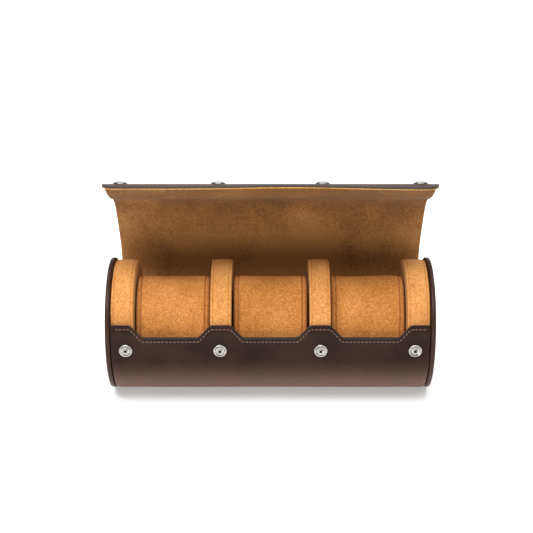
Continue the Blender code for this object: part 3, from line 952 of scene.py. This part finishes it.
def make_snaps():
    stud, eyelet, cap, socket, spring = snap_profiles()
    kinds = (
        ("stud", stud, 0.18, NICKEL, "nickel", "body"),
        ("eyelet", eyelet, 0.1, NICKEL, "nickel", "body"),
        ("cap", cap, 0.25, NICKEL, "nickel", "lid_front"),
        ("socket", socket, 0.14, NICKEL, "nickel", "lid_front"),
        ("spring", spring, 0.02, STEEL, "spring_steel", "lid_front"),
    )
    for kind, profile, radius, material, slot_name, body in kinds:
        for number, x in enumerate(SNAP_X, 1):
            name = f"snap_{kind}_{number}_turned"
            obj = link_mesh(name, turned(name, rounded_profile(profile, radius)), material)
            place_snap(obj, x, body)
            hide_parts(f"snap_{kind}_{number}")


# ---------------------------------------------------------------- pillows


def pillow_outline(count, inset):
    """A full, slightly squared oval, as (depth, height)."""
    turn = np.arange(count) * 2.0 * math.pi / count
    c, s = np.cos(turn), np.sin(turn)
    depth = np.sign(c) * np.abs(c) ** (2.0 / PILLOW_POWER) * (PILLOW_DEPTH / 2.0 - inset)
    height = np.sign(s) * np.abs(s) ** (2.0 / PILLOW_POWER) * (PILLOW_HEIGHT / 2.0 - inset)
    return depth, height


def swell(obj, cap):
    """Fills a pillow by a short cloth simulation under pressure, keeping each point within the cap."""
    start = coordinates(obj.data)
    cloth = obj.modifiers.new("fill", "CLOTH")
    settings = cloth.settings
    settings.quality = 5
    settings.use_pressure = True
    settings.uniform_pressure_force = 4.0
    settings.effector_weights.gravity = 0.0
    settings.tension_stiffness = 25.0
    settings.compression_stiffness = 25.0
    settings.bending_stiffness = 2.0
    scene = bpy.context.scene
    scene.frame_start, scene.frame_end = 1, 20
    for step in range(1, 21):
        scene.frame_set(step)
    graph = bpy.context.evaluated_depsgraph_get()
    made = coordinates(obj.evaluated_get(graph).to_mesh())
    obj.evaluated_get(graph).to_mesh_clear()
    obj.modifiers.remove(cloth)
    scene.frame_set(1)
    move = made - start
    far = np.linalg.norm(move, axis=1)
    move *= (np.minimum(far, cap) / np.maximum(far, 1e-9))[:, None]
    set_coordinates(obj.data, start + move)


def pillow_mesh(name, half, hem, around=108):
    """The pillow's plain shape about its own centre, with rows of points close together at each hem."""
    panels = [(-half + 0.35, 19.0), (-half + 0.2, 13.0), (-half + 0.1, 8.5), (-half, 5.5)]
    panels += [(-half + 0.1, 3.2), (-half + 0.7, 1.9), (-half + 1.7, 1.25)]
    panels += [(-hem + step, 1.0) for step in (-0.9, -0.6, -0.28, 0.0, 0.28, 0.6, 1.0)]
    middle = [(x, 1.0) for x in np.linspace(-hem + 2.2, hem - 2.2, 22)]
    rows = panels + middle + [(-x, inset) for x, inset in reversed(panels)]
    points = []
    for x, inset in rows:
        depth, height = pillow_outline(around, inset)
        points += [(x * MM, d * MM, h * MM) for d, h in zip(depth, height)]
    faces = tube_faces(len(rows), around)
    for row, x in ((0, -half + 0.4), (len(rows) - 1, half - 0.4)):
        points.append((x * MM, 0.0, 0.0))
        tip = len(points) - 1
        faces += [(row * around + i, row * around + (i + 1) % around, tip) for i in range(around)]
    mesh = bpy.data.meshes.new(name)
    mesh.from_pydata(points, [], faces)
    face_outward(mesh, 80.0)
    return mesh


def sewn_in(rest, hem, number):
    """How far each point of a pillow moves, in millimetres: soft lumps, puckers and a sunk seam at each hem.

    It depends on where the points were before the pillow was filled.
    """
    x, depth, height = (rest[:, axis] / MM for axis in range(3))
    out = np.stack([np.zeros_like(x), depth / PILLOW_DEPTH**2, height / PILLOW_HEIGHT**2], axis=-1)
    out /= np.linalg.norm(out, axis=1)[:, None] + 1e-9
    turn = np.arctan2(height, depth)
    from_hem = np.abs(x) - hem
    moved = 0.32 * np.sin(x * 0.12 + number * 2.0) * np.sin(turn * 3.0 + number)
    moved += 0.16 * np.sin(x * 0.31 + number) * np.sin(turn * 7.0 + 1.3 * number)
    moved += 0.14 * np.sin(turn * 46.0 + number) * np.exp(-((from_hem / 1.6) ** 2))
    moved -= HEM_DEPTH * np.exp(-((from_hem / 0.38) ** 2))
    on_skin = np.hypot(depth / PILLOW_DEPTH, height / PILLOW_HEIGHT) > 0.43
    return out * np.where(on_skin, moved, 0.0)[:, None]


def make_pillow(number, centre, width):
    """A rolled suede pillow with sewn hems near both ends and puckered end panels."""
    half = width / 2.0
    hem = half - HEM_INSET
    name = f"pillow_{number}_suede"
    obj = link_mesh(name, pillow_mesh(name, half, hem), SUEDE)
    rest = coordinates(obj.data)
    swell(obj, PILLOW_SWELL * MM)
    made = coordinates(obj.data)
    made[:, 0] = np.clip(made[:, 0], -half * MM, half * MM)
    x, y, z = (made + sewn_in(rest, hem, number) * MM).T
    tilt = math.radians(PILLOW_TILT)
    lean = math.radians(PILLOW_LEANS[number - 1])
    across = x + z * lean + centre.x * MM
    back = y * math.cos(tilt) + z * math.sin(tilt) + centre.y * MM
    up = z * math.cos(tilt) - y * math.sin(tilt) + centre.z * MM
    set_coordinates(obj.data, np.stack([across, back, up], axis=-1))
    face_outward(obj.data, 80.0)
    finer = obj.modifiers.new("finer", "SUBSURF")
    finer.levels = 1
    finer.render_levels = 1
    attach(obj, f"pillow_{number}")
    kinds = ("foam", "sleeve", "end_left", "end_right")
    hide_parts(*[f"pillow_{number}_{kind}" for kind in kinds])


# ---------------------------------------------------------------- stage


def make_stage():
    """A plain pale floor, an even studio and three soft lights."""
    floor_mesh = bpy.data.meshes.new("floor")
    reach = 6.0
    corners = [(-reach, -reach, 0), (reach, -reach, 0), (reach, reach, 0), (-reach, reach, 0)]
    floor_mesh.from_pydata(corners, [], [(0, 1, 2, 3)])
    floor = link_mesh("floor", floor_mesh)
    paper, nodes, links, surface = new_material("floor_white")
    surface.inputs["Base Color"].default_value = (0.82, 0.82, 0.82, 1.0)
    surface.inputs["Roughness"].default_value = 0.75
    surface.inputs["Emission Color"].default_value = (1.0, 1.0, 1.0, 1.0)
    surface.inputs["Emission Strength"].default_value = 0.30
    floor_mesh.materials.append(paper)
    floor.location.z = -0.0004

    world = bpy.data.worlds.new("studio")
    bpy.context.scene.world = world
    world.use_nodes = True
    nodes, links = world.node_tree.nodes, world.node_tree.links
    back = nodes["Background"]
    back.inputs["Color"].default_value = (1.0, 1.0, 1.0, 1.0)
    direction = nodes.new("ShaderNodeSeparateXYZ")
    links.new(nodes.new("ShaderNodeTexCoord").outputs["Generated"], direction.inputs["Vector"])
    depth = nodes.new("ShaderNodeMapRange")
    depth.interpolation_type = "SMOOTHSTEP"
    depth.inputs["From Min"].default_value = -0.7
    depth.inputs["From Max"].default_value = 0.5
    depth.inputs["To Min"].default_value = 0.42
    depth.inputs["To Max"].default_value = 0.55
    links.new(direction.outputs["Y"], depth.inputs["Value"])
    links.new(depth.outputs["Result"], back.inputs["Strength"])

    lights = (
        ("key", (-0.15, -0.34, 0.86), (0.9, 0.4), 9.0),
        ("fill", (-0.10, -1.30, 0.22), (1.6, 0.3), 6.0),
        ("top", (0.1, 0.55, 1.35), (1.4, 0.5), 13.0),
    )
    for name, place, size, power in lights:
        lamp = bpy.data.lights.new(name, "AREA")
        lamp.shape = "RECTANGLE"
        lamp.size, lamp.size_y = size
        lamp.energy = power
        obj = bpy.data.objects.new(name, lamp)
        bpy.context.scene.collection.objects.link(obj)
        obj.location = place
        aim = Vector((0.0, 0.0, 0.06)) - obj.location
        obj.rotation_euler = aim.to_track_quat("-Z", "Y").to_euler()


def make_camera():
    """Looks at the roll's middle from the front. The shift sets where the roll lies in the frame."""
    bpy.context.scene.view_settings.view_transform = "Standard"
    elevation = math.radians(30.0)
    towards = Vector((0.0, -math.cos(elevation), math.sin(elevation)))
    data = bpy.data.cameras.new("camera")
    data.lens = 86.66
    data.sensor_width = 36.0
    data.clip_end = 20.0
    camera = bpy.data.objects.new("camera", data)
    bpy.context.scene.collection.objects.link(camera)
    data.shift_x = -0.0073
    data.shift_y = 0.1041
    camera.location = Vector((0.0, 0.0, BASE_DROP * MM)) + towards
    camera.rotation_euler = (-towards).to_track_quat("-Z", "Y").to_euler()
    bpy.context.scene.camera = camera


make_camera()
make_stage()
make_shell()
make_end_caps()
for number, (left, right) in enumerate(DIVIDERS, 1):
    make_divider(number, left, right)
make_flap()
make_snaps()
for number, (centre, width) in enumerate(PILLOWS, 1):
    make_pillow(number, centre, width)
